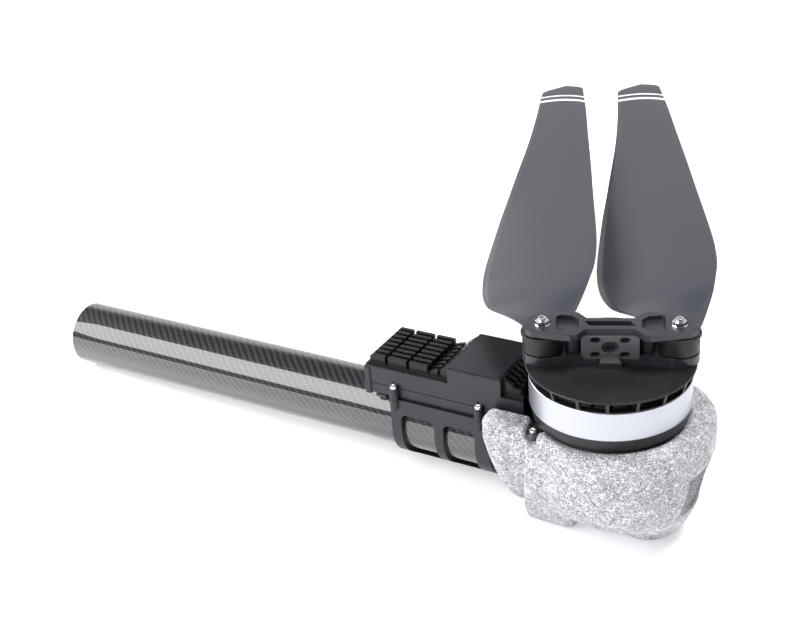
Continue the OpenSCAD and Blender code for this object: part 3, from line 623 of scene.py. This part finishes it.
def prism(outline, z0, z1, chamfer):
    """An upright prism whose top edge is chamfered."""
    inner = [(x*(1 - chamfer/math.hypot(x, y)), y*(1 - chamfer/math.hypot(x, y))) for x, y in outline]
    n = len(outline)
    verts = [(x, y, z) for ring, z in ((outline, z0), (outline, z1 - chamfer), (inner, z1)) for x, y in ring]
    faces = [tuple(range(n - 1, -1, -1)), tuple(2*n + j for j in range(n))]
    faces += [(i*n + j, i*n + (j + 1) % n, (i + 1)*n + (j + 1) % n, (i + 1)*n + j)
              for i in (0, 1) for j in range(n)]
    return verts, faces


def blade_parts():
    """The skin, the turned metal lug round the pivot and the five-sided pad above it.

    Each comes as (vertices, faces), whether it is shaded smooth, and its material's index."""
    stations = [6 + (BLADE_LENGTH - 26)*(i/BLADE_STATIONS)**1.15 for i in range(BLADE_STATIONS)]
    stations += [BLADE_LENGTH - 0.05 - 19.95*(1 - i/24)**2 for i in range(25)]
    lug = [(4, 86), (12.5, 86), (13, 86.5), (13, 96.7), (13.2, 97),
           (13.7, 97), (14, 97.3), (14, 98.6), (13.6, 99), (4, 99)]
    pad = [(-12, -6), (12, -6), (12.5, 9), (9, 18), (1, 27.5), (-1, 27.5), (-9, 18), (-12.5, 9)]
    return [(loft([blade_section(s) for s in stations]), True, 0), (lathe(lug), False, 1),
            (prism(pad, 93, 99.1, 0.4), False, 0)]


def build_blade(name, node, body, pivot, turn):
    """One blade, built in its own axes and set on its pivot; turn is its angle from square to the hub."""
    verts, faces, shaded, kinds = [], [], [], []
    for (part_verts, part_faces), smooth_part, kind in blade_parts():
        faces += [tuple(k + len(verts) for k in face) for face in part_faces]
        verts += part_verts
        shaded += [smooth_part]*len(part_faces)
        kinds += [kind]*len(part_faces)
    blade = mesh_object(name, [(x*MM, y*MM, z*MM) for x, y, z in verts], faces, SLOT_MATERIALS["blade"])
    blade.data.materials.append(LUG_METAL)
    blade.data.polygons.foreach_set("use_smooth", shaded)
    blade.data.polygons.foreach_set("material_index", kinds)
    blade.matrix_world = (Matrix.Translation((pivot.x, pivot.y, 0))
                          @ Matrix.Rotation(HUB_ANGLE + turn, 4, "Z"))
    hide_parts(node)
    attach(blade, body)


def dress_cad_nodes():
    """Gives each CAD node its slot's material; the hub block instead gets a lighter copy of the hub metal, a
    painted reflection.
    """
    slots = {s["node"]: s["material_slot"] for s in frame["record"]["subparts"]}
    for name, obj in nodes.items():
        obj.data.materials.clear()
        obj.data.materials.append(BLOCK_PAINTED_REFLECTION if name == "hub_block" else SLOT_MATERIALS[slots[name]])


# ---- stage ----

def build_stage():
    """A white floor that the tube's root and the cradle's foot both touch, with a softbox and three lamps."""
    root_drop = -TUBE_RADIUS
    slope = (FOAM_LOW.z - root_drop)/FOOT_REACH
    size = 6.0
    floor = mesh_object("floor", [(-size, -size, 0), (size, -size, 0), (size, size, 0), (-size, size, 0)],
                        [(0, 1, 2, 3)], floor_material(), smooth=False)
    floor.matrix_world = (Matrix.Translation((0, 0, root_drop - 0.0003))
                          @ Matrix.Rotation(-math.atan(slope), 4, "Y"))
    world = bpy.data.worlds.new("studio")
    bpy.context.scene.world = world
    world.use_nodes = True
    light_tent(world.node_tree)
    # The softbox stands in front and to the left, where the tube mirrors it as one long pale band
    add_area("softbox", (-0.40, -0.85, 0.76), (-0.40, 0, 0), (1.3, 1.1), 23)
    add_area("left_high", (-2.6, 0.2, 1.25), (0.35, 0.1, 0), (0.9, 0.9), 48)
    add_area("overhead", (0.95, 0.45, 1.9), (0.48, 0, 0), (0.7, 0.7), 40)
    add_area("front_low", (2.0, -1.1, 0.45), (0.45, 0, 0), (1.0, 0.6), 5)
    bpy.context.scene.view_settings.view_transform = "Standard"


def light_tent(tree):
    """The surroundings: dim overhead and in front, pale low down at the back."""
    background = tree.nodes["Background"]
    split = tree.nodes.new("ShaderNodeSeparateXYZ")
    tree.links.new(tree.nodes.new("ShaderNodeTexCoord").outputs["Generated"], split.inputs[0])
    spans = []
    for socket, low, high in ((1, 0.1, 0.6), (2, 0.62, 0.35)):
        span = tree.nodes.new("ShaderNodeMapRange")
        span.interpolation_type = "SMOOTHSTEP"
        span.inputs["From Min"].default_value = low
        span.inputs["From Max"].default_value = high
        tree.links.new(split.outputs[socket], span.inputs["Value"])
        spans.append(span.outputs[0])
    both = tree.nodes.new("ShaderNodeMath")
    both.operation = "MULTIPLY"
    strength = tree.nodes.new("ShaderNodeMath")
    strength.operation = "MULTIPLY_ADD"
    strength.inputs[1].default_value = TENT_BACK
    strength.inputs[2].default_value = TENT_DIM
    tree.links.new(spans[0], both.inputs[0])
    tree.links.new(spans[1], both.inputs[1])
    tree.links.new(both.outputs[0], strength.inputs[0])
    tree.links.new(strength.outputs[0], background.inputs[1])
    background.inputs[0].default_value = (1, 1, 1, 1)


def floor_material():
    n = Nodes("floor_white")
    tone = n.noise(3, 2, 0.5)
    n.shader.inputs["Emission Color"].default_value = (1, 1, 1, 1)
    n.shader.inputs["Emission Strength"].default_value = 0.32
    return n.set(color=n.mix(tone, (0.92, 0.92, 0.935), (0.95, 0.95, 0.965)), rough=0.9, specular=0.1)


def aim(obj, place, target):
    direction = (Vector(target) - Vector(place)).normalized()
    obj.matrix_world = Matrix.Translation(place) @ direction.to_track_quat("-Z", "Y").to_matrix().to_4x4()


def add_area(name, place, target, size, power):
    light = bpy.data.lights.new(name, "AREA")
    light.shape = "RECTANGLE"
    light.size, light.size_y = size
    light.energy = power
    obj = link(bpy.data.objects.new(name, light))
    aim(obj, place, target)


def build_camera():
    """The camera looks down on the motor from the front right."""
    azimuth, elevation, roll = (math.radians(a) for a in (32.19, 27.92, -4.78))
    back = Vector((math.sin(azimuth)*math.cos(elevation), -math.cos(azimuth)*math.cos(elevation),
                   math.sin(elevation)))
    right = (-back).cross(Vector((0, 0, 1))).normalized()
    up = right.cross(-back)
    right, up = (right*math.cos(roll) + up*math.sin(roll), up*math.cos(roll) - right*math.sin(roll))
    camera = link(bpy.data.objects.new("camera", bpy.data.cameras.new("camera")))
    camera.data.lens = 57.8
    camera.data.sensor_width = 36
    turn = Matrix((right, up, back)).transposed().to_4x4()
    camera.matrix_world = Matrix.Translation((0.72647, -0.67087, 0.50072)) @ turn
    bpy.context.scene.camera = camera


dress_cad_nodes()
build_cradle()
build_blade("left_blade_skin", "left_blade", "blade_l", LEFT_PIVOT, 0)
build_blade("right_blade_skin", "right_blade", "blade_r", RIGHT_PIVOT, RIGHT_REST)
build_stage()
build_camera()
